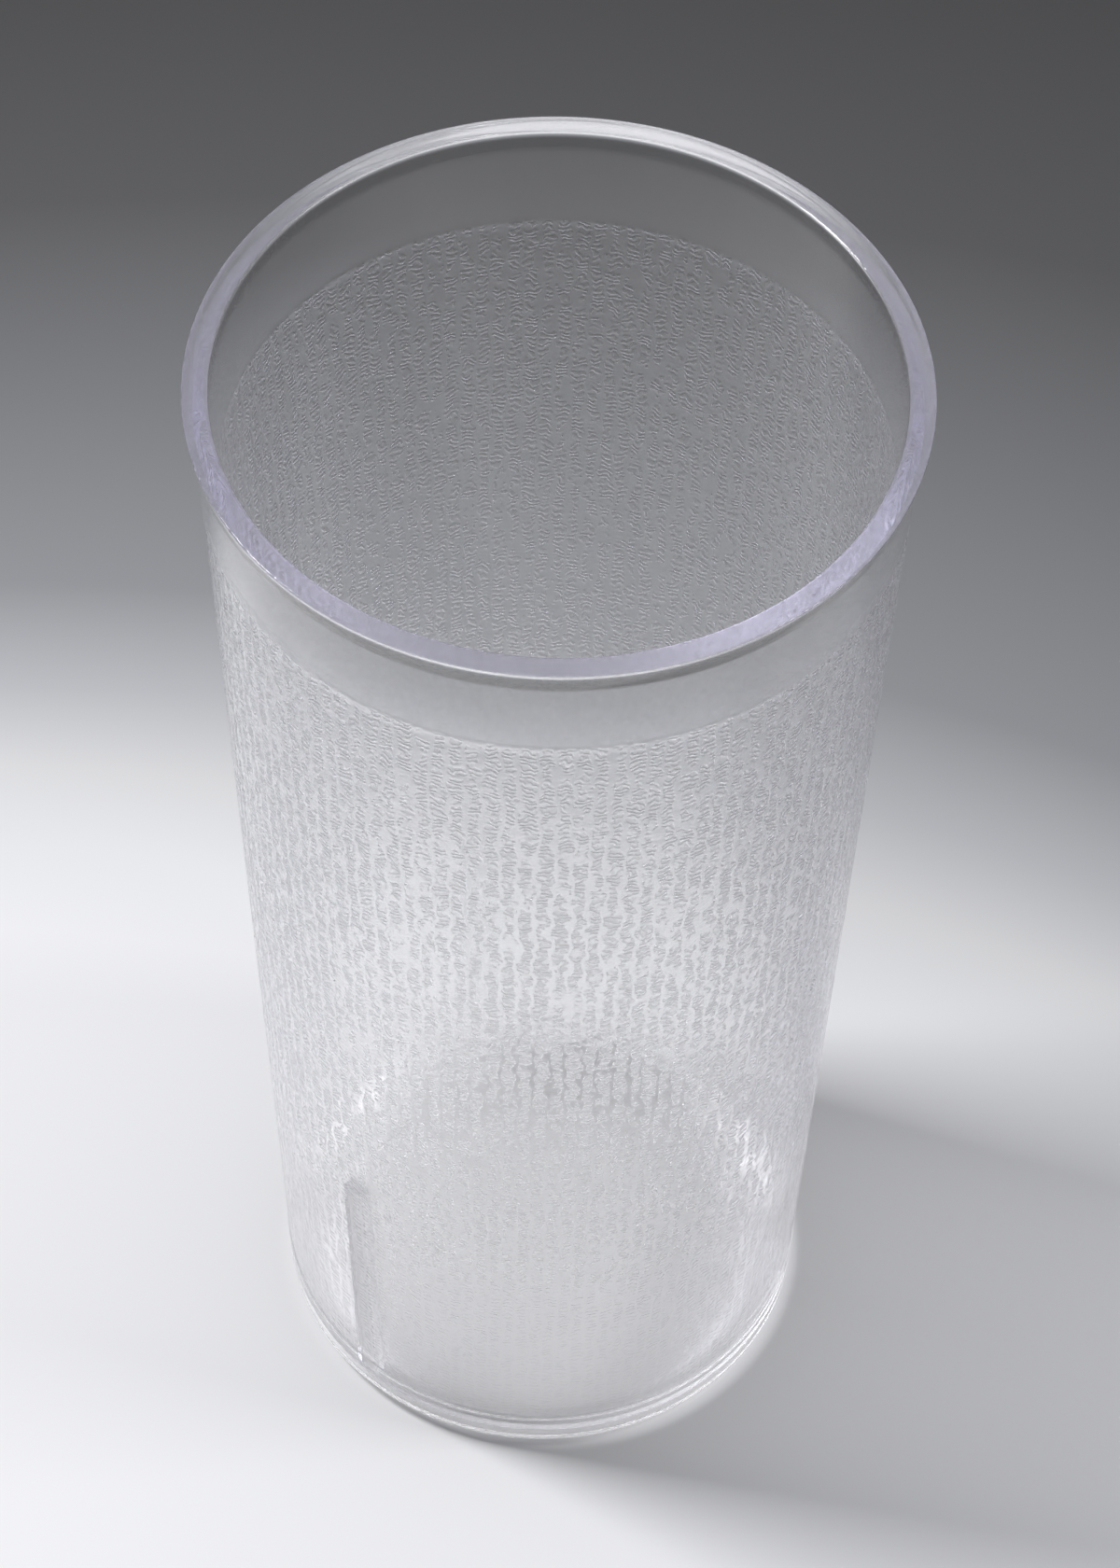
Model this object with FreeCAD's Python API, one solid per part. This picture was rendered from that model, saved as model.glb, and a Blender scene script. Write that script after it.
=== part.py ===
import FreeCAD, Part
import math
import os

# Clear stacking tumbler, moulded in one piece. Millimetres, +Z up.
# The origin is the middle of the foot ring, on the plane that the tumbler stands on.
# The side that the camera sees is -Y. Angles run from -Y, positive towards +X.

# Overall size
height = 165.0
rim_diameter = 82.5
base_diameter = 65.0

# Wall and floor
wall_thickness = 2.0
floor_height = 3.0
inner_corner_radius = 3.5
base_corner_radius = 3.0

# Lip, flared on the outside only, steeper below the knee of its underside
lip_flare = 1.0
lip_height = 3.9
lip_knee_drop = 2.5
lip_knee_inset = 0.46
lip_land = 0.5
lip_outer_round = 0.3
lip_inner_round = 0.6

# The inner third of the lip's top slopes a little inwards
lip_slope_width = 1.1
lip_slope_drop = 0.08

# Foot ring and the shallow recess inside it
foot_ring_width = 3.0
recess_depth = 0.8

# Field of crackle on the outside, sunk below the smooth band and the smooth foot
smooth_band_height = 13.5
smooth_foot_height = 7.6
field_depth = 0.12
field_edge_run = 0.6

# Ribs on the inside that carry the foot of the next tumbler in a stack
rib_count = 3
rib_width = 3.0
rib_projection = 1.5
rib_top_height = 46.0
rib_edge_round = 0.5
first_rib_angle = -42.5

rim_radius = rim_diameter / 2
base_radius = base_diameter / 2
neck_radius = rim_radius - lip_flare
field_top = height - smooth_band_height
field_bottom = smooth_foot_height
lip_root = height - lip_height
lip_knee = height - lip_knee_drop


def outer_radius(z):
    """Outside of the tapered wall, without the flare of the lip."""
    return base_radius + (neck_radius - base_radius) * z / height


def inner_radius(z):
    """Inside of the tapered wall."""
    return outer_radius(z) - wall_thickness


def rounded_wire(corners):
    """Closed wire in the XZ plane through (radius, z, round), each round an arc tangent to its sides."""
    points = [FreeCAD.Vector(radius, 0, z) for radius, z, size in corners]
    starts = []
    ends = []
    arcs = []
    for i, corner in enumerate(points):
        size = corners[i][2]
        back = (points[i - 1] - corner).normalize()
        ahead = (points[(i + 1) % len(points)] - corner).normalize()
        if size == 0:
            starts.append(corner)
            ends.append(corner)
            arcs.append(None)
            continue
        half = back.getAngle(ahead) / 2
        reach = size / math.tan(half)
        middle_way = (back + ahead).normalize()
        centre = corner + middle_way * (size / math.sin(half))
        starts.append(corner + back * reach)
        ends.append(corner + ahead * reach)
        arcs.append(Part.Arc(starts[i], centre - middle_way * size, ends[i]).toShape())
    edges = []
    for i, arc in enumerate(arcs):
        if arc:
            edges.append(arc)
        following = starts[(i + 1) % len(starts)]
        edges.append(Part.LineSegment(ends[i], following).toShape())
    return Part.Wire(edges)


def make_shell():
    """Wall, floor, foot ring and lip, turned from half of the section."""
    recess_radius = base_radius - base_corner_radius - foot_ring_width
    corners = [
        (0, recess_depth, 0),
        (recess_radius, recess_depth, 0),
        (recess_radius + recess_depth, 0, 0),
        (base_radius, 0, base_corner_radius),
        (outer_radius(field_bottom), field_bottom, 0),
        (outer_radius(field_bottom) - field_depth, field_bottom + field_depth, 0),
        (outer_radius(field_top) - field_depth, field_top - field_edge_run, 0),
        (outer_radius(field_top), field_top, 0),
        (outer_radius(lip_root), lip_root, 0),
        (rim_radius - lip_knee_inset, lip_knee, 0),
        (rim_radius, height - lip_land, 0),
        (rim_radius, height, lip_outer_round),
        (inner_radius(height) + lip_slope_width, height, 0),
        (inner_radius(height), height - lip_slope_drop, lip_inner_round),
        (inner_radius(floor_height), floor_height, inner_corner_radius),
        (0, floor_height, 0),
    ]
    section = Part.Face(rounded_wire(corners))
    return section.revolve(FreeCAD.Vector(0, 0, 0), FreeCAD.Vector(0, 0, 1), 360)


def make_rib():
    """One stacking rib, standing in +X, its back sunk halfway into the wall."""
    root = wall_thickness / 2
    floor = floor_height - root
    corners = [
        (inner_radius(floor) - rib_projection, floor, 0),
        (inner_radius(floor) + root, floor, 0),
        (inner_radius(rib_top_height) + root, rib_top_height, 0),
        (inner_radius(rib_top_height) - rib_projection, rib_top_height, 0),
    ]
    side = Part.Face(rounded_wire(corners))
    side.translate(FreeCAD.Vector(0, -rib_width / 2, 0))
    rib = side.extrude(FreeCAD.Vector(0, rib_width, 0))
    reach = inner_radius(rib_top_height) - rib_projection / 2
    inner_edges = [
        edge for edge in rib.Edges
        if edge.BoundBox.XMax < reach and edge.BoundBox.ZLength > rib_top_height / 2
    ]
    return rib.makeFillet(rib_edge_round, inner_edges)


def make_tumbler():
    tumbler = make_shell()
    for i in range(rib_count):
        angle = first_rib_angle + i * 360 / rib_count - 90
        rib = make_rib()
        rib.rotate(FreeCAD.Vector(0, 0, 0), FreeCAD.Vector(0, 0, 1), angle)
        tumbler = tumbler.fuse(rib)
    return tumbler.removeSplitter()


os.makedirs("parts", exist_ok=True)
tumbler = make_tumbler()
tumbler.exportStep("parts/tumbler.step")
box = tumbler.optimalBoundingBox(False)
print("solids", len(tumbler.Solids), "valid", tumbler.isValid())
print("size", round(box.XLength, 3), round(box.YLength, 3), round(box.ZLength, 3))
print("plastic volume", round(tumbler.Volume / 1000, 1), "cm3")
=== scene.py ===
import math

import bmesh
import bpy
from mathutils import Matrix, Vector


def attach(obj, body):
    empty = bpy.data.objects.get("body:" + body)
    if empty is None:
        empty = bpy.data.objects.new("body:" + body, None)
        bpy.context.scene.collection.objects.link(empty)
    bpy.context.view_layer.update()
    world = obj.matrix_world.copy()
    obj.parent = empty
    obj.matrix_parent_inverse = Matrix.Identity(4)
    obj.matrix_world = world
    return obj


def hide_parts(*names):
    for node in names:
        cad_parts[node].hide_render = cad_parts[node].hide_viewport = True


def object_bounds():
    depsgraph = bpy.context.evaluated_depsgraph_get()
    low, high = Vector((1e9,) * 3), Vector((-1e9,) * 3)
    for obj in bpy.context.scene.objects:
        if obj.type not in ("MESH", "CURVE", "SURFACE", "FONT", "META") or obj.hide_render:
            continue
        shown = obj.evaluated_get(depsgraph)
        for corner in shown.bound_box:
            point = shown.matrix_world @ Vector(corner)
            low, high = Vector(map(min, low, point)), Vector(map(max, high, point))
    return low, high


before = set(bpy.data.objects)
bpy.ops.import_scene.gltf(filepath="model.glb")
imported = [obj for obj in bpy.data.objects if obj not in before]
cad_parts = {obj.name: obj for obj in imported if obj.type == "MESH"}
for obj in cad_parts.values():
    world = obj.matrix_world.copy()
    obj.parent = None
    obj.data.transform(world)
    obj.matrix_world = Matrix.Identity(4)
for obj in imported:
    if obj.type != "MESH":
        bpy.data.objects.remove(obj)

cad_low, cad_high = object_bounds()

# Sizes in metres. The height and the rim come from the frame, the rest are this tumbler's own.
MM = 0.001
height = cad_high.z
rim_radius = cad_high.x
base_radius = 32.5 * MM
wall_thickness = 2.0 * MM
floor_height = 3.0 * MM
inner_corner_radius = 3.5 * MM
base_corner_radius = 3.0 * MM
lip_flare = 1.0 * MM
lip_land = 0.5 * MM
lip_knee_drop = 2.5 * MM
lip_knee_inset = 0.46 * MM
lip_root_drop = 3.9 * MM
lip_outer_round = 0.3 * MM
lip_inner_round = 0.6 * MM
lip_slope_width = 1.1 * MM
lip_slope_drop = 0.08 * MM
foot_ring_width = 3.0 * MM
recess_depth = 0.8 * MM
field_top = height - 13.5 * MM
field_bottom = 7.6 * MM
field_depth = 0.12 * MM
field_edge_run = 0.6 * MM
rib_width = 3.0 * MM
rib_projection = 1.5 * MM
rib_top_height = 46.0 * MM
rib_edge_round = 0.5 * MM
rib_angles = (-42.5, 77.5, 197.5)

# The crackle is shallow near the foot and reaches its full depth further up
shallow_until = 12.0 * MM
full_depth_from = 60.0 * MM
shallow_share = 0.3
column_count = 124
bar_pitch = 0.8 * MM
bar_depth = 0.032 * MM

# How far the crackle strays: its columns sideways, in columns, and its bars up and down, in bars
column_stray = 1.4
bar_stray = 4.0
bar_start_spread = 9.0

# Mesh fineness
around = 320
field_rows = 240
wall_rows = 12
round_steps = 7
corner_steps = 10

# How rough the surface is, from mirror gloss at 0 upwards. Where two of them meet, they add up.
inside_softness = 0.08
floor_satin = 0.25
rib_satin = 0.3
crackle_haze = 0.10
crest_haze = 0.25

# The plastic
refraction = 1.57
toner_density = 4.0
light_kept = 0.28


def outer_radius(z):
    """Outside of the tapered wall, without the flare of the lip."""
    neck_radius = rim_radius - lip_flare
    return base_radius + (neck_radius - base_radius) * z / height


def inner_radius(z):
    """Inside of the tapered wall."""
    return outer_radius(z) - wall_thickness


# Modelling helpers

def edit(piece):
    """Open one piece for editing, with nothing selected."""
    bpy.ops.object.select_all(action="DESELECT")
    piece.select_set(True)
    bpy.context.view_layer.objects.active = piece
    bpy.ops.object.mode_set(mode="EDIT")
    bpy.ops.mesh.select_mode(type="EDGE")
    bpy.ops.mesh.select_all(action="DESELECT")


def close_edit():
    bpy.ops.object.mode_set(mode="OBJECT")


def select_edges(piece, wanted):
    """Select the edges for which wanted(first end, second end) is true."""
    shape = bmesh.from_edit_mesh(piece.data)
    for edge in shape.edges:
        edge.select_set(wanted(edge.verts[0].co, edge.verts[1].co))
    shape.select_flush_mode()
    bmesh.update_edit_mesh(piece.data)


def apply_modifier(piece, kind, **settings):
    """Add a modifier, set it and apply it at once."""
    bpy.ops.object.select_all(action="DESELECT")
    piece.select_set(True)
    bpy.context.view_layer.objects.active = piece
    modifier = piece.modifiers.new(kind.lower(), kind)
    for name, value in settings.items():
        setattr(modifier, name, value)
    bpy.ops.object.modifier_apply(modifier=modifier.name)


def corner_rings(back, corner, ahead, size, steps):
    """Rings round a corner of the section: an arc of radius size that touches both of its sides."""
    back_way = (Vector(back) - Vector(corner)).normalized()
    ahead_way = (Vector(ahead) - Vector(corner)).normalized()
    half = back_way.angle(ahead_way) / 2
    middle_way = (back_way + ahead_way).normalized()
    centre = Vector(corner) + middle_way * (size / math.sin(half))
    start = Vector(corner) + back_way * (size / math.tan(half)) - centre
    end = Vector(corner) + ahead_way * (size / math.tan(half)) - centre
    rings = []
    for i in range(steps + 1):
        spoke = start.slerp(end, i / steps).normalized() * size
        rings.append(tuple(centre + spoke))
    return rings


# The tumbler

def section_rings():
    """The section as rings (radius, z), from the recess below, up the outside and over the lip."""
    recess_radius = base_radius - base_corner_radius - foot_ring_width
    recess_edge = (recess_radius, recess_depth)
    foot_edge = (recess_radius + recess_depth, 0.0)
    base_corner = (base_radius, 0.0)
    lip_root = (outer_radius(height - lip_root_drop), height - lip_root_drop)
    lip_knee = (rim_radius - lip_knee_inset, height - lip_knee_drop)
    lip_side = (rim_radius, height - lip_land)
    lip_outer = (rim_radius, height)
    lip_crease = (inner_radius(height) + lip_slope_width, height)
    lip_inner = (inner_radius(height), height - lip_slope_drop)
    floor_corner = (inner_radius(floor_height), floor_height)
    field_start = (outer_radius(field_bottom), field_bottom)
    rings = [recess_edge, foot_edge]
    rings += corner_rings(foot_edge, base_corner, field_start, base_corner_radius, corner_steps)
    rings.append(field_start)
    rings.append((outer_radius(field_bottom) - field_depth, field_bottom + field_depth))
    rings.append((outer_radius(field_top) - field_depth, field_top - field_edge_run))
    rings.append((outer_radius(field_top), field_top))
    rings += [lip_root, lip_knee, lip_side]
    rings += corner_rings(lip_side, lip_outer, lip_crease, lip_outer_round, round_steps)
    rings.append(lip_crease)
    rings += corner_rings(lip_crease, lip_inner, floor_corner, lip_inner_round, round_steps)
    wall_top = rings[-1]
    floor_middle = (0.0, floor_height)
    floor_rings = corner_rings(wall_top, floor_corner, floor_middle, inner_corner_radius, corner_steps)
    for i in range(1, wall_rows):
        share = i / wall_rows
        rings.append(tuple(Vector(wall_top).lerp(Vector(floor_rings[0]), share)))
    rings += floor_rings
    return rings


def turn_tumbler():
    """Start from a circle and carry its edge on, ring by ring, round the whole section."""
    rings = section_rings()
    radius, z = rings[0]
    bpy.ops.object.select_all(action="DESELECT")
    bpy.ops.mesh.primitive_circle_add(vertices=around, radius=radius, location=(0, 0, z))
    piece = bpy.context.active_object
    bpy.ops.object.transform_apply(location=True)
    edit(piece)
    bpy.ops.mesh.select_all(action="SELECT")
    for next_radius, next_z in rings[1:]:
        bpy.ops.mesh.extrude_edges_move(TRANSFORM_OT_translate={"value": (0, 0, next_z - z)})
        share = next_radius / radius
        bpy.ops.transform.resize(value=(share, share, 1), center_override=(0, 0, 0))
        radius, z = next_radius, next_z
    bpy.ops.mesh.edge_face_add()
    first_radius, first_z = rings[0]

    def on_first_ring(a, b):
        return all(
            abs(end.z - first_z) < 1e-6 and abs(end.xy.length - first_radius) < 1e-6
            for end in (a, b)
        )

    select_edges(piece, on_first_ring)
    bpy.ops.mesh.edge_face_add()
    bpy.ops.mesh.select_all(action="SELECT")
    bpy.ops.mesh.normals_make_consistent(inside=False)
    close_edit()
    return piece


def cut_field_rows(piece):
    """Cut the long outside faces of the crackle field into rows, fine enough to carry its relief."""
    def stands_in_field(a, b):
        low, high = sorted((a, b), key=lambda end: end.z)
        outside = low.xy.length > inner_radius(low.z) + wall_thickness / 2
        return outside and high.z - low.z > (field_top - field_bottom) / 2

    edit(piece)
    select_edges(piece, stands_in_field)
    bpy.ops.mesh.subdivide_edgering(number_cuts=field_rows - 1, interpolation="LINEAR", smoothness=0)
    close_edit()


def make_rib(angle):
    """One stacking rib: a bar inside the wall, leaning out with the taper, its two long edges rounded."""
    root = wall_thickness / 2
    low = floor_height - root
    bar_height = rib_top_height - low
    depth = rib_projection + root
    bpy.ops.object.select_all(action="DESELECT")
    middle_radius = inner_radius(low) - rib_projection + depth / 2
    bpy.ops.mesh.primitive_cube_add(size=1, location=(middle_radius, 0, low + bar_height / 2))
    rib = bpy.context.active_object
    rib.scale = (depth, rib_width, bar_height)
    bpy.ops.object.transform_apply(location=True, scale=True)
    lean = inner_radius(rib_top_height) - inner_radius(low)
    middle = low + bar_height / 2
    edit(rib)
    select_edges(rib, lambda a, b: a.z > middle and b.z > middle)
    bpy.ops.transform.translate(value=(lean, 0, 0))
    bpy.ops.mesh.select_all(action="DESELECT")

    def inner_long_edge(a, b):
        standing = abs(a.z - b.z) > bar_height / 2
        return standing and min(a.x, b.x) < middle_radius

    select_edges(rib, inner_long_edge)
    bpy.ops.mesh.bevel(offset=rib_edge_round, segments=4, profile=0.5, affect="EDGES")
    close_edit()
    turn = math.radians(angle - 90)
    rib.data.transform(Matrix.Rotation(turn, 4, "Z"))
    return rib


def add_ribs(piece):
    """Grow the three ribs out of the wall."""
    for angle in rib_angles:
        rib = make_rib(angle)
        apply_modifier(piece, "BOOLEAN", operation="UNION", solver="EXACT", object=rib)
        bpy.data.objects.remove(rib)


def mark_field(piece):
    """A point group of the crackle field. It fades out at its edges and is weaker near the foot."""
    group = piece.vertex_groups.new(name="crackle")
    fade = 0.8 * MM
    for point in piece.data.vertices:
        z = point.co.z
        outside = point.co.xy.length > inner_radius(z) + wall_thickness / 2
        inset = min(z - field_bottom, field_top - field_edge_run - z) - field_depth
        rise = (z - shallow_until) / (full_depth_from - shallow_until)
        share = shallow_share + (1 - shallow_share) * min(max(rise, 0.0), 1.0)
        if outside and inset > 0:
            group.add([point.index], min(inset / fade, 1.0) * share, "REPLACE")


def press_relief(piece, name, cell, depth, basis, detail):
    """Raise the field by a noise whose cells measure cell (across, across, up), up to depth proud."""
    noise = bpy.data.textures.new(name, "CLOUDS")
    noise.noise_scale = 1.0
    noise.noise_depth = detail
    noise.noise_basis = basis
    bpy.ops.object.select_all(action="DESELECT")
    bpy.ops.object.empty_add(location=(0, 0, 0))
    frame_of_cells = bpy.context.active_object
    frame_of_cells.scale = cell
    bpy.context.view_layer.update()
    apply_modifier(
        piece, "DISPLACE", texture=noise, texture_coords="OBJECT", texture_coords_object=frame_of_cells,
        strength=depth, mid_level=0.0, vertex_group="crackle",
    )
    bpy.data.objects.remove(frame_of_cells)
    bpy.data.textures.remove(noise)


def make_tumbler():
    piece = turn_tumbler()
    piece.name = "tumbler_moulding"
    piece.data.name = "tumbler_moulding"
    add_ribs(piece)
    cut_field_rows(piece)
    mark_field(piece)
    column = (1.5 * MM, 1.5 * MM, 8.0 * MM)
    wrinkle = (1.6 * MM, 1.6 * MM, 0.9 * MM)
    press_relief(piece, "columns", column, 0.08 * MM, "BLENDER_ORIGINAL", 1)
    press_relief(piece, "wrinkles", wrinkle, 0.045 * MM, "BLENDER_ORIGINAL", 0)
    bpy.ops.object.shade_smooth_by_angle(angle=math.radians(30))
    apply_modifier(piece, "WEIGHTED_NORMAL", keep_sharp=True, weight=50)
    return piece


# Materials

def linear(hex_colour):
    """An sRGB hex colour as linear red, green, blue and alpha."""
    parts = [int(hex_colour[i:i + 2], 16) / 255 for i in (1, 3, 5)]
    return tuple(c / 12.92 if c <= 0.04045 else ((c + 0.055) / 1.055) ** 2.4 for c in parts) + (1.0,)


def new_material(name):
    material = bpy.data.materials.new(name)
    material.use_nodes = True
    material.node_tree.nodes.clear()
    return material


def add_node(material, kind, links=None, values=None, **settings):
    """Add a node, set its settings and input values, and link its inputs from other nodes' outputs."""
    node = material.node_tree.nodes.new(kind)
    for name, value in settings.items():
        setattr(node, name, value)
    for name, value in (values or {}).items():
        node.inputs[name].default_value = value
    for name, source in (links or {}).items():
        material.node_tree.links.new(source, node.inputs[name])
    return node


def clear_san():
    """Clear SAN plastic, injection moulded: a hard glossy clear resin with a trace of violet toner.

    Polished steel gives the band, lip and foot their mirror gloss. The inside is a trace softer, and the
    floor and ribs are satin. The outside was moulded against an etched crackle, which bends what is seen
    through it and gives the wall a pale silky haze. The toner only shows where the eye looks along the
    plastic, in the lip and in the foot.
    """
    material = new_material("moulded clear SAN")
    place = add_node(material, "ShaderNodeTexCoord").outputs["Object"]
    split = add_node(material, "ShaderNodeSeparateXYZ", {"Vector": place})
    flat = add_node(material, "ShaderNodeCombineXYZ", {"X": split.outputs["X"], "Y": split.outputs["Y"]})
    radius = add_node(material, "ShaderNodeVectorMath", {0: flat.outputs[0]}, operation="LENGTH")
    taper = (rim_radius - lip_flare - base_radius) / height
    middle = add_node(
        material, "ShaderNodeMath", {0: split.outputs["Z"]},
        {1: taper, 2: base_radius - wall_thickness / 2}, operation="MULTIPLY_ADD",
    )
    outside = add_node(
        material, "ShaderNodeMath", {0: radius.outputs["Value"], 1: middle.outputs[0]},
        operation="GREATER_THAN",
    )
    edge = 0.5 * MM
    above_foot = add_node(
        material, "ShaderNodeMapRange", {"Value": split.outputs["Z"]},
        {"From Min": field_bottom, "From Max": field_bottom + edge},
    )
    below_band = add_node(
        material, "ShaderNodeMapRange", {"Value": split.outputs["Z"]},
        {"From Min": field_top - field_edge_run, "From Max": field_top - field_edge_run - edge},
    )
    between = add_node(
        material, "ShaderNodeMath", {0: above_foot.outputs[0], 1: below_band.outputs[0]},
        operation="MULTIPLY",
    )
    field = add_node(
        material, "ShaderNodeMath", {0: between.outputs[0], 1: outside.outputs[0]}, operation="MULTIPLY",
    )

    # The crackle stands in upright columns of short bars, like crepe, with plain gaps between the columns
    wander = add_node(
        material, "ShaderNodeTexNoise",
        {"Vector": add_node(
            material, "ShaderNodeMapping", {"Vector": place},
            {"Scale": (1 / (1.8 * MM), 1 / (1.8 * MM), 1 / (2.6 * MM))},
        ).outputs[0]},
        {"Scale": 1.0, "Detail": 2.0, "Roughness": 0.55},
    )
    stray = add_node(material, "ShaderNodeSeparateColor", {"Color": wander.outputs["Color"]})
    angle = add_node(
        material, "ShaderNodeMath", {0: split.outputs["Y"], 1: split.outputs["X"]}, operation="ARCTAN2",
    )
    across = add_node(
        material, "ShaderNodeMath", {0: angle.outputs[0]}, {1: column_count / math.tau, 2: 0.0},
        operation="MULTIPLY_ADD",
    )
    across = add_node(
        material, "ShaderNodeMath", {0: stray.outputs[0], 2: across.outputs[0]}, {1: column_stray},
        operation="MULTIPLY_ADD",
    )
    column = add_node(material, "ShaderNodeMath", {0: across.outputs[0]}, operation="FLOOR")
    luck = add_node(material, "ShaderNodeTexWhiteNoise", {"W": column.outputs[0]}, noise_dimensions="1D")
    from_gap = add_node(
        material, "ShaderNodeMath", {0: across.outputs[0]}, {1: 0.5}, operation="PINGPONG",
    )
    column_crest = add_node(
        material, "ShaderNodeMapRange", {"Value": from_gap.outputs[0]},
        {"From Min": 0.08, "From Max": 0.22}, interpolation_type="SMOOTHSTEP",
    )
    up = add_node(
        material, "ShaderNodeMath", {0: split.outputs["Z"]}, {1: 1 / bar_pitch}, operation="MULTIPLY",
    )
    up = add_node(
        material, "ShaderNodeMath", {0: luck.outputs["Value"], 2: up.outputs[0]}, {1: bar_start_spread},
        operation="MULTIPLY_ADD",
    )
    up = add_node(
        material, "ShaderNodeMath", {0: stray.outputs[1], 2: up.outputs[0]}, {1: bar_stray},
        operation="MULTIPLY_ADD",
    )
    from_groove = add_node(material, "ShaderNodeMath", {0: up.outputs[0]}, {1: 0.5}, operation="PINGPONG")
    bar_crest = add_node(
        material, "ShaderNodeMapRange", {"Value": from_groove.outputs[0]},
        {"From Min": 0.04, "From Max": 0.40}, interpolation_type="SMOOTHSTEP",
    )
    strength = add_node(
        material, "ShaderNodeMapRange", {"Value": stray.outputs[2]},
        {"From Min": 0.34, "From Max": 0.48, "To Min": 0.1}, interpolation_type="SMOOTHSTEP",
    )
    bars = add_node(
        material, "ShaderNodeMath", {0: bar_crest.outputs[0], 1: strength.outputs[0]}, operation="MULTIPLY",
    )
    ripple = add_node(
        material, "ShaderNodeMath", {0: bars.outputs[0], 1: column_crest.outputs[0]}, operation="MULTIPLY",
    )
    share = add_node(
        material, "ShaderNodeMapRange", {"Value": split.outputs["Z"]},
        {"From Min": shallow_until, "From Max": full_depth_from, "To Min": shallow_share},
    )
    pressed = add_node(
        material, "ShaderNodeMath", {0: share.outputs[0], 1: field.outputs[0]}, operation="MULTIPLY",
    )
    relief = add_node(
        material, "ShaderNodeMath", {0: ripple.outputs[0], 1: pressed.outputs[0]}, operation="MULTIPLY",
    )
    bump = add_node(
        material, "ShaderNodeBump", {"Height": relief.outputs[0]}, {"Strength": 1.0, "Distance": bar_depth},
    )
    # The inside is a little softer than the lip, so the far wall blurs behind the near one
    below_lip = add_node(
        material, "ShaderNodeMapRange", {"Value": split.outputs["Z"]},
        {"From Min": height - 1.6 * MM, "From Max": height - 2.4 * MM},
    )
    inside = add_node(
        material, "ShaderNodeMath", {0: outside.outputs[0], 2: below_lip.outputs[0]}, {1: -1.0},
        operation="MULTIPLY_ADD", use_clamp=True,
    )
    satin = add_node(
        material, "ShaderNodeMath", {0: inside.outputs[0]}, {1: inside_softness}, operation="MULTIPLY",
    )
    # The floor is satin. The slots for the ribs are sparked into the steel, so the ribs come out satin too.
    on_floor = add_node(
        material, "ShaderNodeMapRange", {"Value": split.outputs["Z"]},
        {"From Min": floor_height + 1.0 * MM, "From Max": floor_height + 0.2 * MM},
    )
    on_floor = add_node(
        material, "ShaderNodeMath", {0: on_floor.outputs[0], 1: inside.outputs[0]}, operation="MULTIPLY",
    )
    satin = add_node(
        material, "ShaderNodeMath", {0: on_floor.outputs[0], 2: satin.outputs[0]}, {1: floor_satin},
        operation="MULTIPLY_ADD",
    )
    inward = add_node(
        material, "ShaderNodeMath", {0: middle.outputs[0], 1: radius.outputs["Value"]},
        operation="SUBTRACT",
    )
    on_rib = add_node(
        material, "ShaderNodeMapRange", {"Value": inward.outputs[0]},
        {"From Min": wall_thickness / 2 + 0.2 * MM, "From Max": wall_thickness / 2 + 0.4 * MM},
    )
    corner_top = floor_height + inner_corner_radius
    above_floor = add_node(
        material, "ShaderNodeMapRange", {"Value": split.outputs["Z"]},
        {"From Min": corner_top, "From Max": corner_top + edge},
    )
    on_rib = add_node(
        material, "ShaderNodeMath", {0: on_rib.outputs[0], 1: above_floor.outputs[0]}, operation="MULTIPLY",
    )
    satin = add_node(
        material, "ShaderNodeMath", {0: on_rib.outputs[0], 2: satin.outputs[0]}, {1: rib_satin},
        operation="MULTIPLY_ADD",
    )
    satin = add_node(
        material, "ShaderNodeMath", {0: field.outputs[0], 2: satin.outputs[0]}, {1: crackle_haze},
        operation="MULTIPLY_ADD",
    )
    roughness = add_node(
        material, "ShaderNodeMath", {0: relief.outputs[0], 2: satin.outputs[0]}, {1: crest_haze},
        operation="MULTIPLY_ADD",
    )
    # The specular tint holds the mirroring back a little, as the lamps show only weakly in the real wall
    plastic = add_node(
        material, "ShaderNodeBsdfPrincipled",
        {"Normal": bump.outputs[0], "Roughness": roughness.outputs[0]},
        {
            "Base Color": linear("#FFFFFF"), "IOR": refraction, "Transmission Weight": 1.0,
            "Specular Tint": linear("#BCBCBC"),
        },
    )
    # Light from the lamps reaches the floor through the wall. Most of it comes in, and the crackle spreads
    # what goes out again on the far side, which is why the foot stands bright beside a grey shadow.
    slant = add_node(material, "ShaderNodeLayerWeight", values={"Blend": 0.5})
    slant = add_node(material, "ShaderNodeMath", {0: slant.outputs["Facing"]}, {1: 4.0}, operation="POWER")
    above_ring = add_node(
        material, "ShaderNodeMapRange", {"Value": split.outputs["Z"]},
        {"From Min": 0.5 * MM, "From Max": 2.0 * MM},
    )
    wall = add_node(
        material, "ShaderNodeMath", {0: above_ring.outputs[0], 1: outside.outputs[0]}, operation="MULTIPLY",
    )
    side = add_node(material, "ShaderNodeNewGeometry")
    spread = add_node(
        material, "ShaderNodeMath", {0: wall.outputs[0], 1: side.outputs["Backfacing"]},
        operation="SUBTRACT", use_clamp=True,
    )
    loss = add_node(
        material, "ShaderNodeMapRange", {"Value": spread.outputs[0]}, {"To Min": 1.0, "To Max": light_kept},
    )
    let_through = add_node(
        material, "ShaderNodeMapRange", {"Value": slant.outputs[0], "To Min": loss.outputs[0]},
        {"To Max": 0.0},
    )
    shadow = add_node(material, "ShaderNodeBsdfTransparent", {"Color": let_through.outputs[0]})
    path = add_node(material, "ShaderNodeLightPath")
    surface = add_node(
        material, "ShaderNodeMixShader",
        {0: path.outputs["Is Shadow Ray"], 1: plastic.outputs[0], 2: shadow.outputs[0]},
    )
    toner = add_node(
        material, "ShaderNodeVolumeAbsorption",
        values={"Color": linear("#CBC5F3"), "Density": toner_density},
    )
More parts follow.
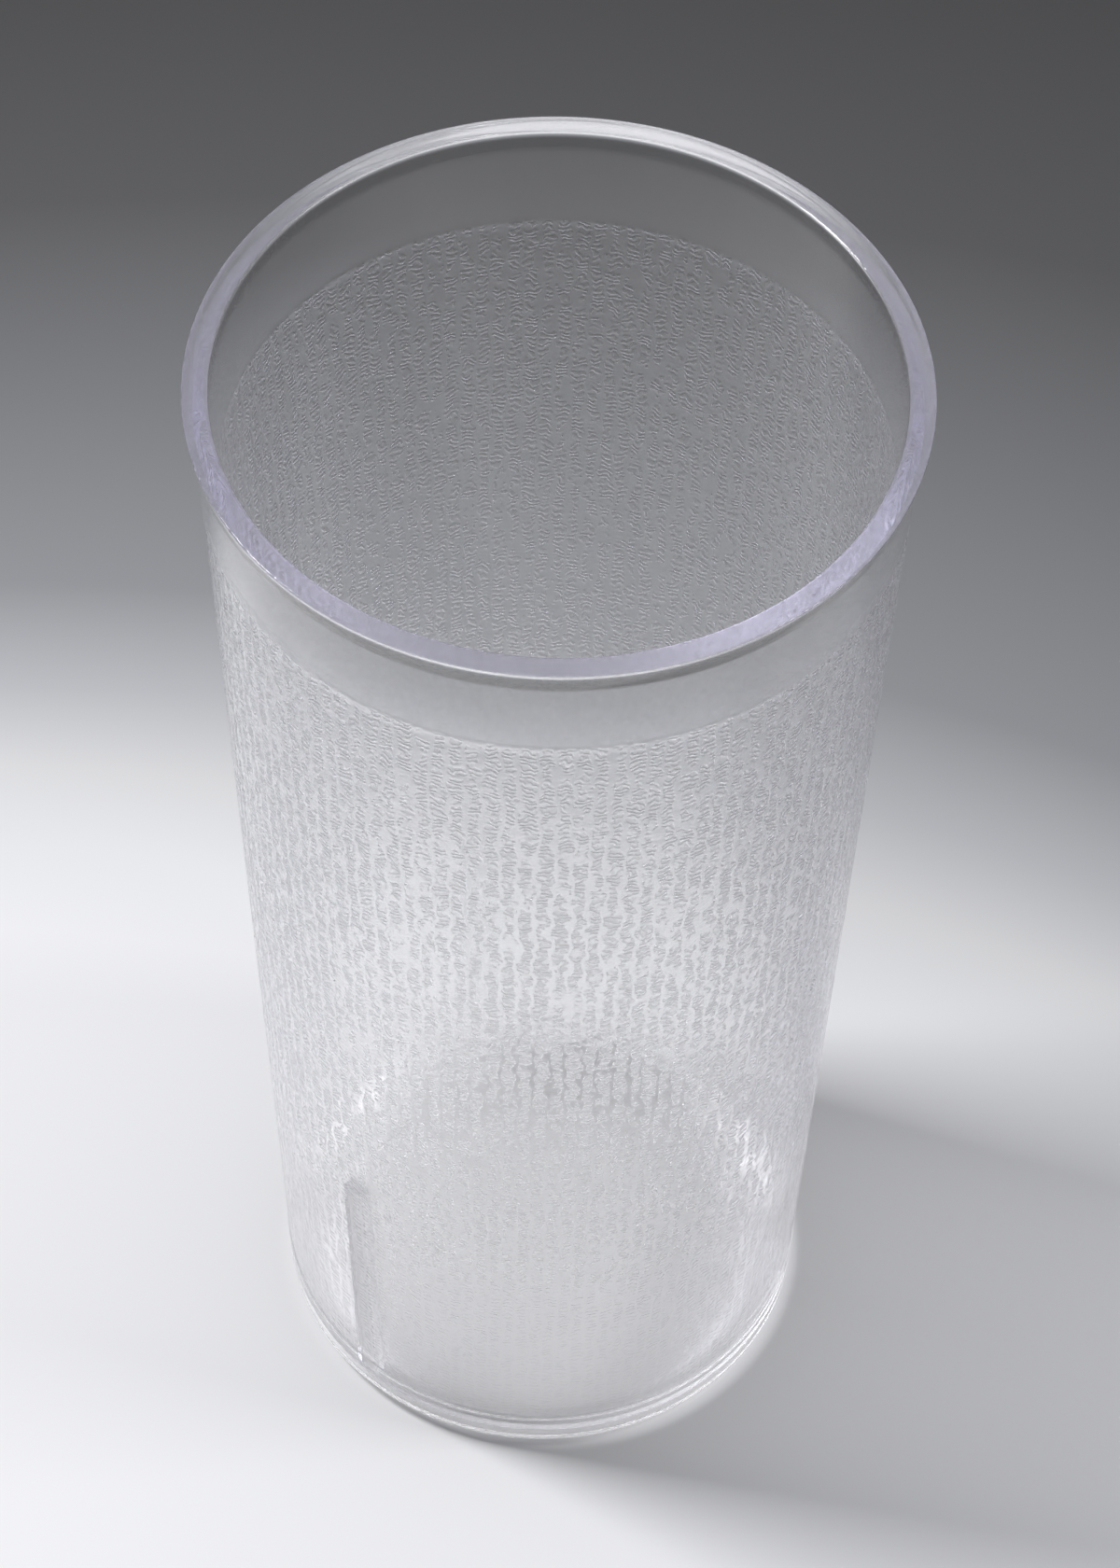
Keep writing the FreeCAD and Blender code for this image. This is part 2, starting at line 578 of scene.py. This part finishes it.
    add_node(
        material, "ShaderNodeOutputMaterial", {"Surface": surface.outputs[0], "Volume": toner.outputs[0]},
    )
    return material


def floor_with_painted_falloff():
    """Matt studio floor, white where the tumbler stands. The grey it falls to behind the tumbler is painted
    shade: the lamps' fall-off and the soft edge of their light, painted into its colour.
    """
    material = new_material("matt floor with painted falloff")
    place = add_node(material, "ShaderNodeTexCoord").outputs["Object"]
    # The painted fall-off of the light runs away from the camera. Its line slants to the right, and
    # straightens further back.
    split = add_node(material, "ShaderNodeSeparateXYZ", {"Vector": place})
    slant = add_node(
        material, "ShaderNodeMath", {0: split.outputs["Y"]}, {1: -1.44, 2: 0.315}, operation="MULTIPLY_ADD",
    )
    slant = add_node(
        material, "ShaderNodeMath", {0: split.outputs["X"], 2: slant.outputs[0]}, {1: 1.11},
        operation="MULTIPLY_ADD",
    )
    along = add_node(
        material, "ShaderNodeMath", {0: split.outputs["X"], 1: slant.outputs[0], 2: split.outputs["Y"]},
        operation="MULTIPLY_ADD",
    )
    painted_falloff = add_node(
        material, "ShaderNodeMapRange", {"Value": along.outputs[0]}, {"From Min": 0.0, "From Max": 0.26},
    )
    ramp = add_node(material, "ShaderNodeValToRGB", {"Fac": painted_falloff.outputs[0]})
    # The colour stops: the floor's own white near the tumbler, then painted shade that greys to where the
    # lamps' light falls off behind it
    painted_falloff_stops = (
        (0.14, "#F2F2F5"), (0.20, "#E6E7EA"), (0.26, "#D7D7D9"), (0.32, "#B8B9BD"),
        (0.40, "#919296"), (0.55, "#7A7B7E"), (0.72, "#5A5A5C"), (1.0, "#454546"),
    )
    colours = ramp.color_ramp.elements
    colours[0].position, colours[0].color = painted_falloff_stops[0][0], linear(painted_falloff_stops[0][1])
    colours[1].position, colours[1].color = painted_falloff_stops[-1][0], linear(painted_falloff_stops[-1][1])
    for position, colour in painted_falloff_stops[1:-1]:
        colours.new(position).color = linear(colour)
    paint = add_node(
        material, "ShaderNodeBsdfPrincipled", {"Base Color": ramp.outputs[0]},
        {"Roughness": 0.9, "Specular IOR Level": 0.2},
    )
    add_node(material, "ShaderNodeOutputMaterial", {"Surface": paint.outputs[0]})
    return material


# Stage, light and camera

def make_floor():
    bpy.ops.object.select_all(action="DESELECT")
    floor_radius = 3.0
    just_below = -0.05 * MM
    bpy.ops.mesh.primitive_circle_add(
        vertices=96, radius=floor_radius, fill_type="NGON", location=(0, 0, just_below),
    )
    floor = bpy.context.active_object
    floor.name = "studio_floor"
    bpy.ops.object.transform_apply(location=True)
    floor.data.materials.append(floor_with_painted_falloff())


def make_lamp(name, towards, distance, size, power):
    """A square softbox at a distance from the tumbler's middle, facing it."""
    lamp = bpy.data.lights.new(name, "AREA")
    lamp.shape = "SQUARE"
    lamp.size = size
    lamp.energy = power
    holder = bpy.data.objects.new(name, lamp)
    bpy.context.scene.collection.objects.link(holder)
    middle = Vector((0, 0, height / 2))
    way = Vector(towards).normalized()
    holder.location = middle + way * distance
    holder.rotation_mode = "QUATERNION"
    holder.rotation_quaternion = way.to_track_quat("Z", "Y")
    holder.visible_camera = False


def light_scene():
    make_lamp("key_softbox", (-0.60, 0.15, 0.78), 0.9, 0.22, 6.8)
    make_lamp("fill_softbox", (0.72, -0.12, 0.75), 1.1, 0.30, 2.3)
    world = bpy.data.worlds.new("studio")
    world.use_nodes = True
    sky = world.node_tree.nodes["Background"]
    sky.inputs["Color"].default_value = linear("#C9CACD")
    sky.inputs["Strength"].default_value = 0.5
    bpy.context.scene.world = world


def make_camera():
    """The photograph's view: 51.6 degrees down on the tumbler from the front, with a slight roll."""
    image_height = 1680
    focal_pixels = 6410
    sensor = 36.0
    back, up = 0.4394, 0.6496
    pitch, yaw, roll = math.radians(51.61), math.radians(0.15), math.radians(1.38)
    ahead = Vector((math.sin(yaw) * math.cos(pitch), math.cos(yaw) * math.cos(pitch), -math.sin(pitch)))
    level = Vector((math.cos(yaw), -math.sin(yaw), 0))
    rise = level.cross(ahead)
    right = level * math.cos(roll) + rise * math.sin(roll)
    top = rise * math.cos(roll) - level * math.sin(roll)
    data = bpy.data.cameras.new("camera")
    data.sensor_width = sensor
    data.lens = focal_pixels / image_height * sensor
    camera = bpy.data.objects.new("camera", data)
    bpy.context.scene.collection.objects.link(camera)
    turn = Matrix((right, top, -ahead)).transposed().to_4x4()
    camera.matrix_world = Matrix.Translation((0, -back, up)) @ turn
    bpy.context.scene.camera = camera


tumbler = make_tumbler()
tumbler.data.materials.clear()
tumbler.data.materials.append(clear_san())
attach(tumbler, "root")
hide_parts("tumbler")

make_floor()
light_scene()
make_camera()
bpy.context.scene.view_settings.view_transform = "Standard"

# Light runs up inside the wall to the lip, and each turn on the way is one bounce
bounces = 64
cycles = bpy.context.scene.cycles
cycles.max_bounces = bounces
cycles.glossy_bounces = bounces
cycles.transmission_bounces = bounces
cycles.caustics_refractive = False
cycles.caustics_reflective = False
cycles.use_light_tree = False
cycles.light_sampling_threshold = 0.05
